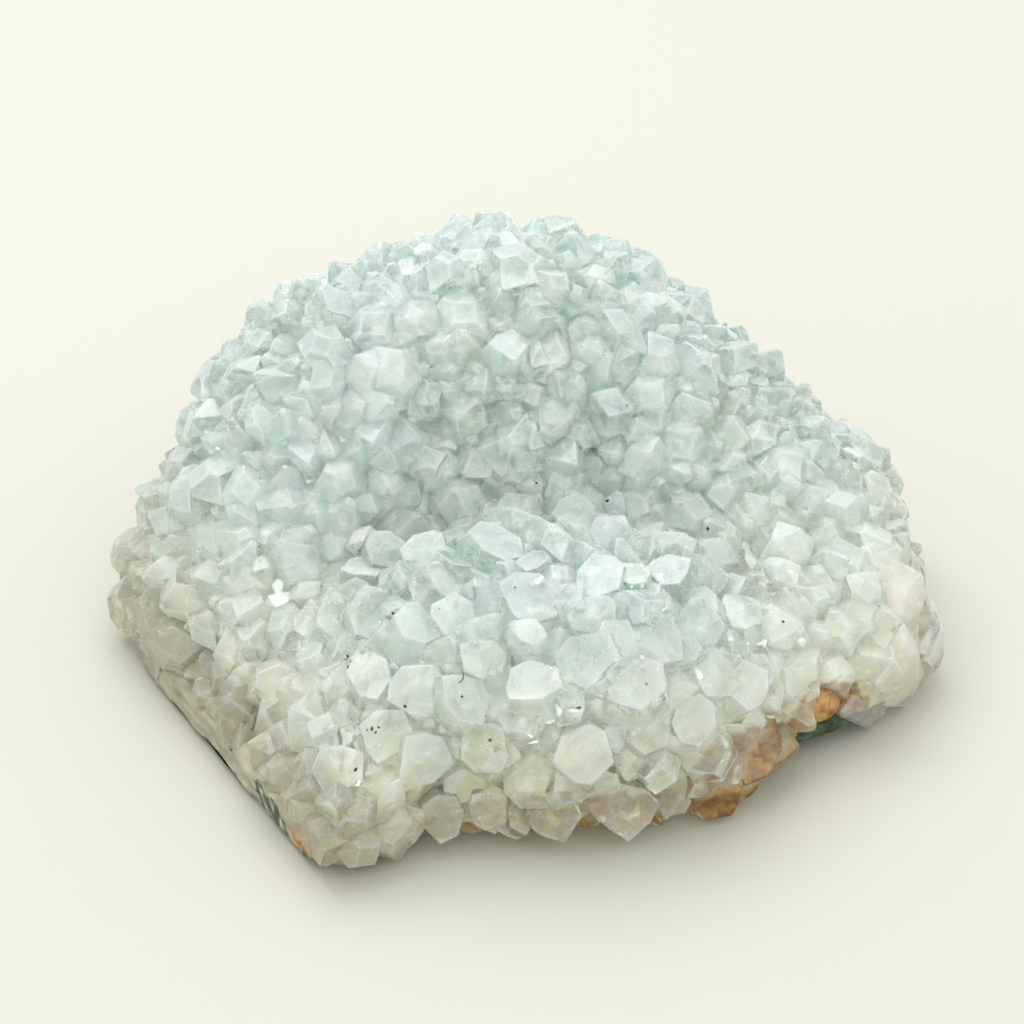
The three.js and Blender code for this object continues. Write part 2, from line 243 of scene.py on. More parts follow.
def setBack(points):
    return points - surfaceNormals(points) * crestDrop(points)[:, None]


def breakWave(points):
    # how far the broken face stands proud of its plane: noise of the place on that plane
    flat = points - (points @ breakNormal)[..., None] * breakNormal
    return body["breakRoughness"] * crackle(flat, body["breakGrain"], 4)


def rimShare(points):
    # 1 on the bare rim of massive stone: low down along the break and the left front edge
    x, y, z = points[..., 0], points[..., 1], points[..., 2]
    top = body["rimLow"] + body["rimMore"] * smooth(-8, -26, y) * smooth(-62, -52, y)
    alongBreak = smooth(-9, -3, pastBreak(points)) * smooth(top + 1.5, top - 1.5, z)
    leftFront = smooth(-9, -15, x) * smooth(-42, -49, y) * smooth(5.0, 3.0, z)
    return np.maximum(alongBreak, leftFront)


def patchShare(points, patches):
    # the strongest of several round patches: x, y, z, radius, strength
    return np.max([row[4] * smooth(row[3], 0.35 * row[3], length(points - row[:3]))
                   for row in patches], axis=0)


def bareShare(points):
    # 1 where no crystals stand: the rim and its margin, the ledge and the stained hollow
    places = np.concatenate([body["ledge"], body["hollow"]])
    return np.maximum(rimShare(points - body["rimMargin"]), patchShare(points, places))


def endShare(points):
    # 1 on the right end, which is massive
    away = length(points - body["endMiddle"])
    return smooth(body["endRadius"] + 3, body["endRadius"] - 3, away)


def addObject(name, data):
    made = bpy.data.objects.new(name, data)
    scene.collection.objects.link(made)
    return made


def addPiece(name, mesh, material):
    # a finished mesh as an object that rides on the part
    piece = addObject(name, mesh)
    mesh.materials.clear()
    mesh.materials.append(material)
    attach(piece, "root")
    mesh.calc_loop_triangles()
    print(f"{name}: {len(mesh.loop_triangles)} triangles")
    return piece


def addValues(mesh, key, values):
    # a number for each vertex, or one for all, that materials read by its name
    layer = mesh.attributes.new(key, "FLOAT", "POINT")
    spread = np.broadcast_to(values, len(mesh.vertices))
    layer.data.foreach_set("value", spread.astype(np.float32))


def makeMesh(name, points, faces, smoothFaces=True, **values):
    # a closed mesh in metres, from whole arrays; faces is a list of (n, sides) arrays
    mesh = bpy.data.meshes.new(name)
    mesh.vertices.add(len(points))
    mesh.vertices.foreach_set("co", (points * millimetre).astype(np.float32).ravel())
    loops = np.concatenate([f.ravel() for f in faces])
    sides = np.concatenate([np.full(len(f), f.shape[1]) for f in faces])
    mesh.loops.add(len(loops))
    mesh.loops.foreach_set("vertex_index", loops.astype(np.int32))
    mesh.polygons.add(len(sides))
    mesh.polygons.foreach_set("loop_start", (np.cumsum(sides) - sides).astype(np.int32))
    mesh.polygons.foreach_set("use_smooth", np.full(len(sides), smoothFaces))
    mesh.update(calc_edges=True)
    mesh.validate()
    for key, value in values.items():
        addValues(mesh, key, value)
    return mesh


def tubeFaces(rows, columns):
    # a closed tube: quads of rows running up by columns round it, then triangles round the
    # last but one point at the bottom and round the last one at the top
    here = np.arange(rows * columns).reshape(rows, columns)
    right = np.roll(here, -1, 1)
    sleeve = np.stack([here[:-1], right[:-1], right[1:], here[1:]], -1).reshape(-1, 4)
    middle = np.full(columns, rows * columns)
    return [sleeve, np.concatenate([np.stack([right[0], here[0], middle], -1),
                                    np.stack([here[-1], right[-1], middle + 1], -1)])]


def linear(code):
    # sRGB hex to linear red, green, blue, alpha
    channels = np.array([int(code[i:i + 2], 16) for i in (1, 3, 5)]) / 255
    bright = np.where(channels <= 0.04045, channels / 12.92, ((channels + 0.055) / 1.055) ** 2.4)
    return (*bright, 1.0)


mainOutput = {"TexCoord": "Object", "SeparateXYZ": "Z", "Attribute": "Fac", "Mix": 2}


def addNode(tree, kind, *numbered, stops=(), **named):
    # a node and its main output: capitalised names are its inputs and the others its
    # settings; an input is a value, a node's output, a hex colour or the name of a mesh
    # attribute; stops are a ramp's places and hex colours, from low to high
    node = tree.nodes.new("ShaderNode" + kind)
    if kind == "Mix":
        node.data_type = "RGBA"
    inputs = dict(zip((0, 6, 7) if kind == "Mix" else (0, 1, 2), numbered))
    for key, value in named.items():
        if key[0].islower():
            setattr(node, key, value)
        else:
            inputs[key.replace("_", " ")] = value
    for key, value in inputs.items():
        if isinstance(value, str):
            value = (linear(value) if value[0] == "#"
                     else addNode(tree, "Attribute", attribute_name=value))
        if isinstance(value, bpy.types.NodeSocket):
            tree.links.new(value, node.inputs[key])
        else:
            node.inputs[key].default_value = value
    if stops:
        elements = node.color_ramp.elements
        while len(elements) < len(stops):
            elements.new(0.5)
        for element, (place, code) in zip(elements, stops):
            element.position = place
            element.color = linear(code)
    return node.outputs[mainOutput.get(kind, 0)] if node.outputs else None


def newMaterial(name):
    # a material without nodes, and addNode for its tree
    material = bpy.data.materials.new(name)
    material.use_nodes = True
    material.node_tree.nodes.clear()
    return material, partial(addNode, material.node_tree)


crystalLook = {
    "transmission": 0.8,
    "absorption": 14.0,
    "absorbed": "#c2e5de",
    "roughness": 0.14,
    "ior": 1.535,  # apophyllite
    "warmFrom": 0.038,  # height below which it turns creamy, partly stain and partly painted warm bounce light, metres
    "warmFull": 0.004,
    "creamStainAndBounce": "#f3e6be",
    "massive": "#f3ece3",
    "veilScale": (430.0, 430.0, 600.0),  # veils 1 to 3 mm across
    "crackScale": 210.0,  # cracks about 5 mm apart
    "crackHalf": 0.007,  # half their width, in steps of the noise
}


def clearApophyllite(look=crystalLook):
    # apophyllite, as grown: glassy stepped faces over a body milky with fine inclusions,
    # veils and hairline cracks, which gives a soft glow and here and there a clear grey-green
    # window; its pale edges are a painted highlight; low down it turns creamy, partly stain and
    # partly painted warm bounce light; iron stains some crystals low down amber, the deepest
    # brown partly painted shade under the front; the massive end is faintly pink
    material, add = newMaterial("clearApophyllite")
    place = add("TexCoord")
    cloud = add("TexNoise", Vector=place, Scale=30.0, Detail=0.0)
    shift = add("Math", "tint", 0.5, cloud, operation="MULTIPLY_ADD")
    pale = add("ValToRGB", Fac=shift, stops=[
        (0.3, "#c3d4c7"), (0.5, "#d2e4dc"), (0.7, "#d9eaea"), (1.0, "#e9f1ee")])
    height = add("SeparateXYZ", Vector=place)
    # painted bounce light: creamier towards the bottom, partly a faint stain and partly painted
    # warm light reflected up from the floor
    low = add("MapRange", Value=height, From_Min=look["warmFrom"], From_Max=look["warmFull"])
    creamStainAndBounce = add("Mix", low, pale, look["creamStainAndBounce"])
    pinked = add("Mix", "massive", creamStainAndBounce, look["massive"])
    # white veils, hairline cracks where a slow noise passes its middle value, and a painted
    # highlight that makes the rims of the faces paler than their middles
    drawn = add("Mapping", Vector=place, Scale=look["veilScale"])
    veil = add("TexNoise", Vector=drawn, Scale=1.0, Detail=3.0, Roughness=0.65)
    veiled = add("MapRange", Value=veil, From_Min=0.45, From_Max=0.62, To_Max=0.8)
    slow = add("TexNoise", Vector=place, Scale=look["crackScale"], Detail=1.0)
    onCrack = add("Math", slow, 0.52, look["crackHalf"], operation="COMPARE")
    crack = add("Math", onCrack, 0.8, operation="MULTIPLY")
    # painted highlight: the edges of every face are whitened by the rim value
    paintedEdgeHighlight = add("Math", "rim", 3.0, operation="POWER")
    cracksAndEdgeHighlight = add("Math", paintedEdgeHighlight, crack, operation="MAXIMUM")
    whiter = add("Math", veiled, cracksAndEdgeHighlight, operation="MAXIMUM")
    milked = add("Mix", whiter, pinked, "#ffffff")
    # the iron stain deepens from straw over amber to brown, in blotches; the deepest brown is
    # partly painted shade, for stained crystals low under the overhanging front
    blotch = add("Math", veil, 2.0, operation="MULTIPLY")
    depth = add("Math", "iron", blotch, operation="MULTIPLY")
    iron = add("ValToRGB", Fac=depth, stops=[
        (0.0, "#ffffff"), (0.25, "#f6ebc8"), (0.6, "#dfb160"), (1.0, "#8f520e")])
    stainedAndShaded = add("Mix", 1.0, milked, iron, blend_type="MULTIPLY")
    gloss = add("MapRange", Value=veil, From_Min=0.35, From_Max=0.65,
                To_Min=look["roughness"] * 0.5, To_Max=look["roughness"] * 2.2)
    shader = add("BsdfPrincipled", Base_Color=stainedAndShaded, Roughness=gloss, IOR=look["ior"],
                 Transmission_Weight=look["transmission"])
    absorb = add("VolumeAbsorption", Color=look["absorbed"], Density=look["absorption"])
    add("OutputMaterial", Surface=shader, Volume=absorb)
    return material


def patchMix(add, noise, name, under, over):
    # a patch with a ragged edge: its share plus noise, cut off sharply, mixes two colours
    share = add("Attribute", attribute_name=name)
    ragged = add("Math", noise, 0.9, share, operation="MULTIPLY_ADD")
    mask = add("MapRange", Value=ragged, From_Min=0.82, From_Max=0.98)
    present = add("Math", share, 6.0, operation="MULTIPLY", use_clamp=True)
    both = add("Math", mask, present, operation="MULTIPLY")
    return add("Mix", both, under, over)


def milkyRootStone():
    # massive apophyllite and quartz, broken: waxy and grey-beige where it is bare, iron
    # stains and a mottled green celadonite skin near the matrix
    material, add = newMaterial("milkyRootStone")
    place = add("TexCoord")
    cloud = add("TexNoise", Vector=place, Scale=90.0, Detail=4.0)
    grain = add("Math", "tone", 0.5, cloud, operation="MULTIPLY_ADD")
    milk = add("ValToRGB", Fac=grain, stops=[
        (0.4, "#dae6de"), (0.7, "#ecf3ee"), (1.0, "#fbfaf5")])
    bump = add("Bump", Strength=0.4, Distance=0.0006, Height=cloud)
    drawn = add("Mapping", Vector=place, Scale=(200.0, 200.0, 700.0))
    layers = add("TexNoise", Vector=drawn, Scale=1.0, Detail=3.0)
    outside = add("ValToRGB", Fac=layers, stops=[
        (0.3, "#7c7965"), (0.5, "#918c78"), (0.7, "#a6a08c")])
    inside = add("Mix", "massive", milk, "#ece8df")
    colour = add("Mix", "bared", inside, outside)
    fine = add("TexNoise", Vector=place, Scale=420.0, Detail=4.0)
    rust = add("ValToRGB", Fac=fine, stops=[
        (0.35, "#6f4518"), (0.5, "#9c6a33"), (0.65, "#b99763")])
    ironed = patchMix(add, cloud, "iron", colour, rust)
    green = add("ValToRGB", Fac=fine, stops=[
        (0.42, "#262d25"), (0.5, "#464e3f"), (0.57, "#828673"), (0.66, "#b4b5a6")])
    skinned = patchMix(add, cloud, "celadonite", ironed, green)
    shader = add("BsdfPrincipled", Base_Color=skinned, Roughness=0.42, IOR=1.535, Normal=bump)
    add("OutputMaterial", Surface=shader)
    return material


def matrixBasalt():
    # weathered basalt with a celadonite skin: rough, dark green, dusty white in places
    material, add = newMaterial("matrixBasalt")
    place = add("TexCoord")
    mottle = add("TexNoise", Vector=place, Scale=260.0, Detail=5.0)
    skin = add("ValToRGB", Fac=mottle, stops=[
        (0.35, "#1e2a1c"), (0.5, "#384a32"), (0.62, "#64735a"), (0.74, "#a5aa98")])
    bump = add("Bump", Strength=0.7, Distance=0.0008, Height=mottle)
    shader = add("BsdfPrincipled", Base_Color=skin, Roughness=0.85, Normal=bump)
    add("OutputMaterial", Surface=shader)
    return material


def darkGrit():
    # specks of soil and a plant fibre: nearly black brown, dull
    material, add = newMaterial("darkGrit")
    place = add("TexCoord")
    mottle = add("TexNoise", Vector=place, Scale=900.0, Detail=1.0)
    brown = add("ValToRGB", Fac=mottle, stops=[(0.4, "#17130f"), (0.6, "#3b2c1e")])
    shader = add("BsdfPrincipled", Base_Color=brown, Roughness=0.8)
    add("OutputMaterial", Surface=shader)
    return material


crystals = {  # millimetres
    "floor": 6.0,  # lowest site of a large crystal
    "fillFloor": 1.4,  # and of a small one
    "darts": 9000,
    "moundSpacing": 6.3,
    "frontSpacing": 7.0,
    "mainGap": 4.8,  # from the tablets
    "fillSpacing": 4.4,
    "fillGap": 3.2,
    "tabletSpacing": 8.4,
    "tabletGap": 6.8,  # from the large tablets listed one by one
    "smallTabletSpacing": 5.8,
    "smallTabletGap": 4.4,
    "endSpacing": 8.5,
    "footTaper": 0.8,
    "placedRoot": 6.0,
    "bevel": 0.14,
    "endBevel": 0.7,
    "mostBevel": 0.28,  # as a share of the shortest edge
    "hill": (0.0, 0.06),  # as a share of the face
    "tabletRoot": 4.0,
    "tabletCrown": np.array([5.0, -30.0, 33.0]),
    "tabletFacing": np.array([0.0, -0.55, 0.3]),
}

# narrowest and widest half width, each on the mound and in front; lowest and highest top
mainKind = dict(halfWidth=((4.0, 4.1), (5.8, 5.9)), rise=(1.0, 5.8), lean=0.75, pointed=0.75,
                root=6.0)
fillKind = dict(halfWidth=((2.9, 2.9), (4.4, 4.4)), rise=(0.4, 3.8), lean=1.0, pointed=0.75,
                root=5.0)
endKind = dict(halfWidth=((5.5, 5.5), (8.0, 8.0)), rise=(-0.4, 0.9), lean=0.4, pointed=0.0,
               root=9.0)
# half width and thickness, length in sight, pointedness of the outline, lift of the tip
tabletKind = dict(halfWidth=(5.4, 7.2), halfThickness=(2.6, 3.8), standing=(5.0, 8.5),
                  pointed=(-0.05, 0.45), lift=(0.1, 0.8), lean=0.4)
smallTabletKind = dict(halfWidth=(3.8, 5.4), halfThickness=(2.2, 3.2), standing=(3.5, 6.5),
                       pointed=(-0.05, 0.45), lift=(0.1, 1.1), lean=0.6)

# large tablets of the front: site, way the broad face looks, way the tip points,
# half width, standing length, pointedness, tint
largeTablets = np.array([
    [9.5, -21.5, 36.2, 0.05, -0.6, 0.8, 0, 0.8, 0.6, 5.2, 6, 0, 1],
    [13.5, -41.5, 35, 0.1, -0.7, 0.7, -0.2, 0.7, 0.7, 4.8, 5, 0, 1],
    [-4.5, -47, 31.5, -0.1, -0.85, 0.5, 0.1, 0.4, 0.8, 4.8, 4.5, 0, 0.9],
    [-4.5, -53.5, 20.5, -0.1, -0.9, 0.4, 0.1, -0.2, -1, 5.4, 7.5, 0, 0.9],
    [11.5, -54, 21, 0.2, -0.9, 0.4, -0.1, -0.3, -1, 6.4, 8.5, 0.35, 0.8],
    [3, -54, 16, -0.1, -1, 0.15, 0.1, -0.1, -1, 5.8, 8, 0.45, 0.4],
    [-8, -53.5, 12.5, 0, -1, 0.1, 0.1, -0.2, -1, 4.8, 7.5, 0.3, 0.3],
    [-19, -53, 12.5, 0, -1, 0.2, 0, -0.3, -1, 5, 6, 0.2, 0.3],
    [14.5, -53.5, 12, 0.1, -1, 0.1, 0.1, -0.1, -1, 4.6, 7.5, 0.1, 0.3],
    [24.5, -49.5, 13, 0.35, -0.9, 0.1, 0.2, -0.3, -1, 5.6, 8.5, 0.4, 0.3],
    [33, -43, 13, 0.5, -0.8, 0.1, 0.2, -0.4, -1, 5, 7, 0.2, 0.5],
    [-13.5, -48, 27, -0.3, -0.85, 0.5, -0.5, -0.3, -0.7, 6.2, 7.5, 0, 1],
    [-9, -41, 34.5, -0.2, -0.6, 0.8, -0.6, -0.2, 0.4, 4.8, 5.5, 0, 0.7],
    [20.5, -50.5, 21, 0.5, -0.8, 0.4, 0.4, -0.3, -0.9, 5, 6.5, 0.3, 0.5],
    [22, -43, 31, 0.3, -0.6, 0.75, 0.8, -0.3, 0.2, 5.6, 6.5, 0.3, 0.6],
    [31.5, -43, 26, 0.5, -0.7, 0.5, 0.7, -0.2, -0.6, 4.8, 5.5, 0.25, 1],
    [-27.5, -58, 17.5, -0.2, -0.8, 0.6, -0.2, -0.6, -0.8, 5.4, 6, 0, 0.5],
    [-20, -52, 21, -0.1, -0.8, 0.6, -0.5, -0.6, -0.6, 5, 6.5, 0.3, 0.7],
    [-22.5, -55, 10, -0.2, -1, 0.1, -0.2, -0.2, -1, 3.9, 5.5, 0.45, 1],
    [-12, -55.5, 8, 0.1, -1, 0.1, 0.25, -0.2, -1, 4.9, 5.5, 0.4, 1],
    [-3.5, -55.5, 9.5, -0.1, -1, 0.05, -0.2, -0.15, -1, 4, 5.5, 0.5, 1],
    [6.5, -55.5, 8, 0.1, -1, 0.05, 0.1, -0.15, -1, 5, 6, 0.4, 0.9],
    [18.5, -53.5, 9, 0.2, -1, 0.1, 0.3, -0.2, -1, 5.2, 6.5, 0.5, 1],
    [26, -49.5, 7.5, 0.4, -0.9, 0.1, -0.1, -0.2, -1, 4.2, 5, 0.4, 1]])

# blocks of the crown and sides, listed one by one: site, axis, half widths, top above the
# site, steepness, bluntness, tint
placedBlocks = np.array([
    [-57, 33, 30.5, -1, -0.1, 0.2, 3.3, 3.2, 7.5, 0.6, 0.55, 0.8],
    [-26, -10.5, 31, -0.318, -0.378, 0.869, 3, 1.7, 3.4, 0.4, 0.88, 0.8],
    [-37.5, -56, 12.5, -0.35, -0.7, 0.6, 4.4, 4.2, 2.2, 0.5, 0.6, 1],
    [-38, -50, 17.5, -0.5, -0.45, 0.75, 4.8, 4.2, 2.2, 0.5, 0.6, 0.9],
    [-51, -30, 14, -0.35, -0.5, 0.8, 5, 4.5, 3, 0.8, 0.3, 0.9],
    [49, -7, 27.5, 0.2, -0.7, 0.7, 4.6, 4, 3.4, 0.5, 0.85, 0.9],
    [44, -33, 15, 0.5, -0.75, 0.3, 5.4, 4.6, 3.4, 0.7, 0.3, 0.7]])

# corner blocks of the massive end, laid out the same way
endBlocks = np.array([
    [68.5, -6, 9, 1, -0.06, 0.05, 7.5, 6.5, 10.4, 0.35, 0.6, 0.6],
    [62, -19, 8, 0.75, -0.62, 0.1, 7.5, 6.5, 5.5, 0.3, 0.7, 0.5],
    [66, -13, 7, 0.85, -0.5, 0.1, 7.5, 6, 7.5, 0.3, 0.7, 0.4],
    [66, 3, 11, 0.9, 0.2, 0.35, 7, 6.5, 7.5, 0.35, 0.6, 0.7]])

# One crystal has 16 corners: foot, shoulder, gable and top, four of each. Apophyllite is
# a square prism whose pyramid faces sit on the prism's edges.
crystalFaces = [(3, 2, 1, 0), (12, 13, 14, 15)]
for k in range(4):
    after = (k + 1) % 4
    crystalFaces.append((k, after, 4 + after, 8 + k, 4 + k))
    crystalFaces.append((4 + after, 8 + after, 12 + after, 12 + k, 8 + k))


def crystalCorners(grown):
    # square rings: foot and shoulder on the corners, gable on the middles of the sides,
    # top a square turned by 45 degrees. Heights: shoulder, + slope, + slope (2 - blunt).
    turn = np.arange(4) * np.pi / 2
    corners = np.stack([np.cos(turn) - np.sin(turn), np.sin(turn) + np.cos(turn)], -1)
    middles = np.stack([-np.sin(turn), np.cos(turn)], -1)
    halfX, halfY, root, blunt, shoulder, slope = (
        grown[key][:, None] for key in ("halfX", "halfY", "root", "blunt", "shoulder", "slope"))
    flat = np.empty((len(halfX), 16, 3))
    rings = [(corners * crystals["footTaper"], -root), (corners, shoulder),
             (middles, shoulder + slope),
             (middles * blunt[:, :, None], shoulder + slope * (2 - blunt))]
    for k, (ring, height) in enumerate(rings):
        flat[:, 4 * k:4 * k + 4, :2] = ring
        flat[:, 4 * k:4 * k + 4, 2] = height
    flat[..., 0] *= halfX
    flat[..., 1] *= halfY
    flat[:, 4:, 2] += (flat[:, 4:, :2] * grown["tilt"][:, None, :]).sum(-1)
    return flat


# A tablet: a thick flat crystal with a worn outline of seven corners, on its edge.
seven = np.arange(7)
tabletFaces = [tuple(seven), tuple(seven[::-1] + 7),
               *zip(seven, seven + 7, np.roll(seven, -1) + 7, np.roll(seven, -1))]


def tabletCorners(grown):
    # outline: x = halfX sin a, z = half length (1 + cos a), each radius varied a little;
    # inner face at -halfY, outer face at +halfY, set in all round and slightly askew
    index = grown["index"][:, None] + 0.137 * seven
    turn = -(seven + 0.5 + between((-0.3, 0.3), index, 52)) * 2 * np.pi / 7
    radius = 1 + between((-0.2, 0.08), index, 51)
    pull = 1 + grown["point"][:, None] * np.maximum(np.cos(turn), 0) ** 6
    half = grown["length"][:, None] / 2
    flat = np.empty((len(index), 14, 3))
    for face, (side, inset) in enumerate([(-1, 1.0), (1, 0.8)]):
        spot = face * 7 + seven
        flat[:, spot, 0] = np.sin(turn) * grown["halfX"][:, None] * radius * inset
        flat[:, spot, 1] = side * grown["halfY"][:, None]
        flat[:, spot, 2] = (half * (1 + np.cos(turn) * radius * pull * inset)
                            - grown["root"][:, None])
    flat[..., 1] += grown["tilt"][:, :1] * flat[..., 0]
    return flat


def bevelPattern(faces):
    # the faces of a bevelled polyhedron: each face shrunk and, but for the hidden first
    # one, split from its middle, a strip along each edge and a small face at each corner.
    # Corner i of face f becomes the vertex number[f, i].
    number = {}
    origin = []
    for f, face in enumerate(faces):
        for i, corner in enumerate(face):
            number[f, corner] = len(origin)
            origin.append((face[i - 1], corner, face[(i + 1) % len(face)]))
    edgeFace = {(face[i - 1], face[i]): f for f, face in enumerate(faces)
                for i in range(len(face))}
    rings = [[number[f, c] for c in face] for f, face in enumerate(faces)]
    made = [tuple(rings[0])]
    for k, ring in enumerate(rings[1:]):
        made += [(ring[i - 1], ring[i], len(origin) + k) for i in range(len(ring))]
    made += [(number[f, v], number[f, u], number[edgeFace[v, u], u], number[edgeFace[v, u], v])
             for (u, v), f in edgeFace.items() if u < v]
    for corner in sorted({c for face in faces for c in face}):
        start = f = next(f for f, face in enumerate(faces) if corner in face)
        ring = []
        while not ring or f != start:
            ring.append(number[f, corner])
            face = faces[f]
            f = edgeFace[corner, face[face.index(corner) - 1]]
        made.append(tuple(ring))
    return np.array(origin), made, rings[1:]


def bevel(corners, pattern, width, index):
    # each corner of a face moves in by the same distance from both of its edges:
    # v + width (e1 + e2) / |e1 x e2|, with e1 and e2 towards its two neighbours; the
    # middle of each face, a weighted mean of its corners, stands up as a low growth hill
    origin, _, rings = pattern
    before, here, after = (corners[:, origin[:, k]] for k in range(3))
    one, other = before - here, after - here
    shortest = np.minimum(length(one), length(other))
    one, other = unit(one), unit(other)
    spread = length(np.cross(one, other))
    step = np.minimum(width[:, None], crystals["mostBevel"] * shortest)
    points = here + (one + other) * (step / np.maximum(spread, 0.3))[..., None]
    middles = []
    for k, ring in enumerate(rings):
        weight = between((0.3, 1.3), index[:, None] + 0.31 * np.arange(len(ring)), 60 + k)
        spot = (points[:, ring] * weight[..., None]).sum(1) / weight.sum(1)[:, None]
        spokes = points[:, ring] - spot[:, None]
        normal = unit(np.cross(spokes, np.roll(spokes, -1, 1)).sum(1))
        height = length(spokes).mean(1) * between(crystals["hill"], index, 80 + k)
        middles.append(spot + normal * height[:, None])
    return np.concatenate([points, np.stack(middles, 1)], 1)


def crowded(points, spot, gap):
    # whether any point is nearer to the spot than the gap
    away = points - spot
    return (np.einsum("ij,ij->i", away, away) < gap ** 2).any()


def plant(first, count, spacingOf, others=np.empty((0, 3)), otherGap=0.0):
    # darts thrown at the body, each kept if no earlier one is nearer than the spacing
    index = np.arange(first, first + count)
    height = chance(index, 1) * 2 - 1
    turn = chance(index, 2) * 2 * np.pi
    level = np.sqrt(1 - height * height)
    rays = np.stack([level * np.cos(turn), level * np.sin(turn), height], -1)
    points = leanBack(surfacePoints(rays), 2.0)
    spacing = spacingOf(points)
    kept = np.empty((count, 3))
    chosen = []
    for i in np.flatnonzero(spacing > 0):
        if not (crowded(kept[:len(chosen)], points[i], spacing[i])
                or crowded(others, points[i], otherGap)):
            kept[len(chosen)] = points[i]
            chosen.append(i)
    return index[chosen], points[chosen]


def crystalTable(index, points, axis, halfX, halfY, slope, blunt, shoulder, tilt, root, tint):
    # the measures of many crystals; across and beside are square to the axis, at random
    across = unit(np.cross(chances(index, 12, 13, 14) - 0.5, axis))
    return dict(index=index, site=points, axis=axis, across=across,
                beside=np.cross(axis, across), halfX=halfX, halfY=halfY, slope=slope,
                blunt=blunt, shoulder=shoulder, tilt=tilt, root=np.full(len(index), root),
                tint=tint)


def grow(index, points, kind, room=1.0):
    # one crystal at each site, along the surface normal with a random lean
    axis = unit(surfaceNormals(points) + (chances(index, 3, 4, 5) - 0.5) * kind["lean"])
    front = frontShare(points)
    halfX = between([mix(*pair, front) for pair in kind["halfWidth"]], index, 6)
    pointed = chance(index, 9) < kind["pointed"]
    steep = between((0.7, 1.15), index, 15)
    slope = halfX * np.where(pointed, steep, steep * 0.7)
    blunt = np.where(pointed, between((0.08, 0.3), index, 16), between((0.45, 0.85), index, 16))
    top = mix(*kind["rise"], chance(index, 8) ** 1.4) * room
    shoulder = top - slope * (2 - blunt) + np.where(pointed, 0.8, 0.2)
    return crystalTable(index, points, axis, halfX, halfX * between((0.7, 1.0), index, 7),
                        slope, blunt, shoulder, mix(-0.25, 0.25, chances(index, 10, 11)),
                        kind["root"], chance(index, 33))


def placeBlocks(first, rows):
    # the same table from rows of measures
    index = np.arange(first, first + len(rows))
    halfX, halfY, top, steep, blunt, tint = rows[:, 6:].T
    slope = halfX * steep
    return crystalTable(index, leanBack(rows[:, :3], 3.0), unit(rows[:, 3:6]), halfX, halfY,
                        slope, blunt, top - slope * (2 - blunt), np.zeros((len(rows), 2)),
                        crystals["placedRoot"], tint)


def square(vectors, axis):
    # direction of the part of each vector that is square to its axis
    return unit(vectors - axis * (vectors * axis).sum(-1, keepdims=True))


def tabletTable(index, points, faceOut, axis, halfX, halfY, standing, point, tilt, tint):
    # the measures of many tablets, broad face along beside and tip along the axis
    root = np.full(len(index), crystals["tabletRoot"])
    return dict(index=index, site=points, axis=axis, across=np.cross(faceOut, axis),
                beside=faceOut, halfX=halfX, halfY=halfY, root=root,
                length=root + standing, point=point, tilt=tilt, tint=tint)


def growTablets(index, points, kind):
    # tablets lie like the scales of a cone: broad faces turned out of the boss and to its
    # front, tips away from its crown and lifted a little
    normal = surfaceNormals(points)
    away = unit((points - crystals["tabletCrown"]) * [1, 1, 0.8])
    wobble = chances(index, 3, 4, 5) * 2 - 1
    outwards = unit(normal + kind["lean"] * wobble + crystals["tabletFacing"])
    lifted = between(kind["lift"], index, 17)[:, None] * outwards
    axis = unit(square(away, outwards) + lifted)
    sizes = [between(kind[key], index, use) for key, use in
             (("halfWidth", 6), ("halfThickness", 7), ("standing", 8), ("pointed", 9))]
    return tabletTable(index, points + normal * 0.6, square(outwards, axis), axis, *sizes,
                       mix(-0.12, 0.12, chances(index, 11, 12)), chance(index, 33))


def placeTablets(first, rows):
    # the same table from rows of measures; tips are lifted by 0.12 of their length
    index = np.arange(first, first + len(rows))
    faceOut = unit(rows[:, 3:6])
    tip = rows[:, 6:9]
    axis = unit(tip - faceOut * ((tip * faceOut).sum(-1, keepdims=True) - 0.12))
    faceOut = square(faceOut, axis)
    return tabletTable(index, rows[:, :3] + faceOut * 0.8, faceOut, axis, rows[:, 9] * 1.15,
                       np.full(len(rows), 3.1), rows[:, 10] * 1.1, rows[:, 11],
                       mix(-0.22, 0.22, chances(index, 11, 12)), rows[:, 12])


def joinTables(*tables):
    return {key: np.concatenate([t[key] for t in tables]) for key in tables[0]}


def frontShare(points):
    return smooth(-4, 26, -points[:, 1])


def mainSpacing(points):
    # wider towards the front; none below the floor, none on the massive end or rim
    spacing = mix(crystals["moundSpacing"], crystals["frontSpacing"], frontShare(points))
    bare = (points[:, 2] < crystals["floor"]) | (endShare(points) > 0.5)
    return np.where(bare | (bareShare(points) > 0.4), 0, spacing)


def fillSpacing(points):
    bare = (points[:, 2] < crystals["fillFloor"]) | (endShare(points) > 0.6)
    bare |= bareShare(points) > 0.5
    bare |= (points[:, 2] < 7) & (points[:, 0] > 46) & (points[:, 1] < 0)
    return np.where(bare, 0, crystals["fillSpacing"])


def bossSpacing(share, spacing):
    return lambda points: np.where((points[:, 2] > crystals["floor"])
                                   & (bossShares(points) > share), spacing, 0)


def endSpacing(points):
    return np.where(endShare(points) > 0.4, crystals["endSpacing"], 0)


def lowTop(points):
    # the crystals of the top, the right end and the back stand up a little less
    outer = np.maximum(smooth(69, 74, points[:, 0]), smooth(66, 71, points[:, 1]))
    return mix(1, 0.85, smooth(60, 68, points[:, 2])) * mix(1, 0.55, outer)


